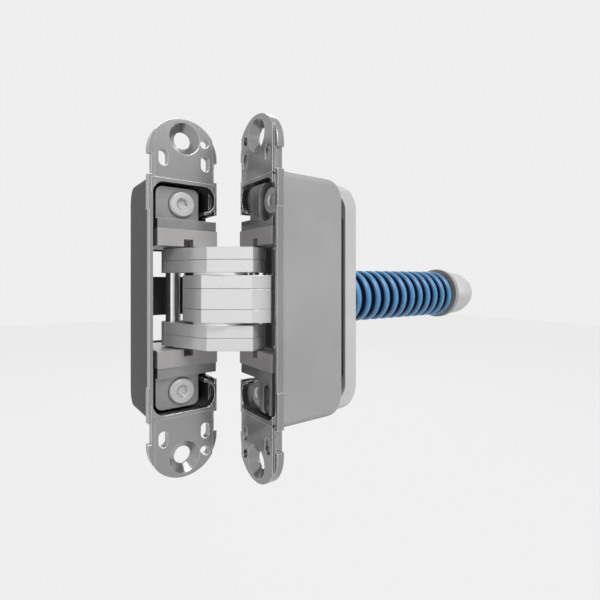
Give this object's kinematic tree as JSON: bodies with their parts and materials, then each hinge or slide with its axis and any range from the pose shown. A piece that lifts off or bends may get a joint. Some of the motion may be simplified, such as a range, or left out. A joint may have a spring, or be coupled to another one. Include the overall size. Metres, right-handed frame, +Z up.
{
  "type": "self-closing concealed hinge",
  "caption": "Self-closing concealed door hinge with scissor arms between two mortised leaves and a blue spring closer behind the frame leaf.",
  "frame": {"origin": "midway between the two screw holes of the frame-side face plate, in their straight part, 2.7 mm behind the plate's face", "axes": "+X into the door frame along the closer rod, +Y into the door leaf at the drawn 90 degrees, +Z up"},
  "size_m": [0.1442, 0.052, 0.118],
  "materials": {
    "plate_nickel": "satin nickel plate with bright edges",
    "arm_steel": "fine satin steel",
    "block_metal": "plain cast and machined light grey",
    "clamp_metal": "darker satin grey",
    "screw_steel": "turned, satin",
    "pin_steel": "ground and polished",
    "white_nylon": "white nylon",
    "dark_insert": "black",
    "cover_metal": "light satin grey",
    "spring_blue": "blue lacquer on spring steel",
    "rod_steel": "rolled thread",
    "nut_zinc": "zinc plated"
  },
  "bodies": {
    "frame_leaf": {"frame_housing": "plate_nickel", "frame_carrier_upper": "block_metal", "frame_carrier_lower": "block_metal", "frame_clamp_upper": "clamp_metal", "frame_clamp_lower": "clamp_metal", "frame_pivot_pin": "pin_steel", "closer_spacer": "dark_insert", "closer_cover": "cover_metal", "closer_spring": "spring_blue"},
    "outer_arms": {"outer_arm_upper_inner": "arm_steel", "outer_arm_upper_outer": "arm_steel", "outer_arm_lower_inner": "arm_steel", "outer_arm_lower_outer": "arm_steel", "knuckle_pin": "pin_steel", "glide_washer_upper": "white_nylon", "glide_washer_lower": "white_nylon", "door_slider_pin": "pin_steel"},
    "centre_arm": {"centre_arm_upper": "arm_steel", "centre_arm_middle": "arm_steel", "centre_arm_lower": "arm_steel", "frame_slider_pin": "pin_steel"},
    "door_leaf": {"door_housing": "plate_nickel", "door_carrier_upper": "block_metal", "door_carrier_lower": "block_metal", "door_clamp_upper": "clamp_metal", "door_clamp_lower": "clamp_metal", "door_pivot_pin": "pin_steel"},
    "closer_link": {"pull_link": "pin_steel", "link_pin": "pin_steel"},
    "closer_rod": {"pull_rod": "rod_steel", "spring_washer": "rod_steel", "adjusting_nut": "nut_zinc"},
    "frame_upper_screw": {"frame_adjuster_upper": "screw_steel"},
    "frame_lower_screw": {"frame_adjuster_lower": "screw_steel"},
    "door_upper_screw": {"door_adjuster_upper": "screw_steel"},
    "door_lower_screw": {"door_adjuster_lower": "screw_steel"}
  },
  "joints": [
    {"name": "outer_arms_swing", "type": "hinge", "parent": "frame_leaf", "child": "outer_arms", "pos_m": [0.0018, 0.0092, 0], "axis": [0, 0, 1], "range_deg": [-54.5, 54.5]},
    {"name": "centre_arm_turn", "type": "hinge", "parent": "outer_arms", "child": "centre_arm", "pos_m": [-0.0106, 0.0092, 0], "axis": [0, 0, 1], "range_deg": [-19, 19]},
    {"name": "door_leaf_turn", "type": "hinge", "parent": "centre_arm", "child": "door_leaf", "pos_m": [-0.0106, 0.0216, 0], "axis": [0, 0, 1], "range_deg": [-54.5, 54.5]},
    {"name": "link_turn", "type": "hinge", "parent": "centre_arm", "child": "closer_link", "pos_m": [0.00565, -0.00107, 0], "axis": [0, 0, 1], "range_deg": [-35.5, 35.5]},
    {"name": "closer_pull", "type": "slide", "parent": "frame_leaf", "child": "closer_rod", "axis": [1, 0, 0], "range_m": [-0.0042, 0.0042], "deforming": ["closer_spring"]},
    {"name": "frame_upper_screw_turn", "type": "hinge", "parent": "frame_leaf", "child": "frame_upper_screw", "pos_m": [0.0003, -0.0048, 0.0312], "axis": [1, 0, 0], "range_deg": [-180, 180]},
    {"name": "frame_lower_screw_turn", "type": "hinge", "parent": "frame_leaf", "child": "frame_lower_screw", "pos_m": [0.0003, 0.0015, -0.0312], "axis": [1, 0, 0], "range_deg": [-180, 180]},
    {"name": "door_upper_screw_turn", "type": "hinge", "parent": "door_leaf", "child": "door_upper_screw", "pos_m": [-0.0198, 0.0201, 0.0312], "axis": [0, 1, 0], "range_deg": [-180, 180]},
    {"name": "door_lower_screw_turn", "type": "hinge", "parent": "door_leaf", "child": "door_lower_screw", "pos_m": [-0.0198, 0.0201, -0.0312], "axis": [0, 1, 0], "range_deg": [-180, 180]}
  ],
  "couplings": [
    {"joint": "centre_arm_turn", "follows": "outer_arms_swing", "ratio": -0.34862},
    {"joint": "door_leaf_turn", "follows": "outer_arms_swing", "ratio": 1},
    {"joint": "link_turn", "follows": "outer_arms_swing", "ratio": -0.65138},
    {"joint": "closer_pull", "follows": "outer_arms_swing", "m_per_rad": 0.0044154}
  ]
}
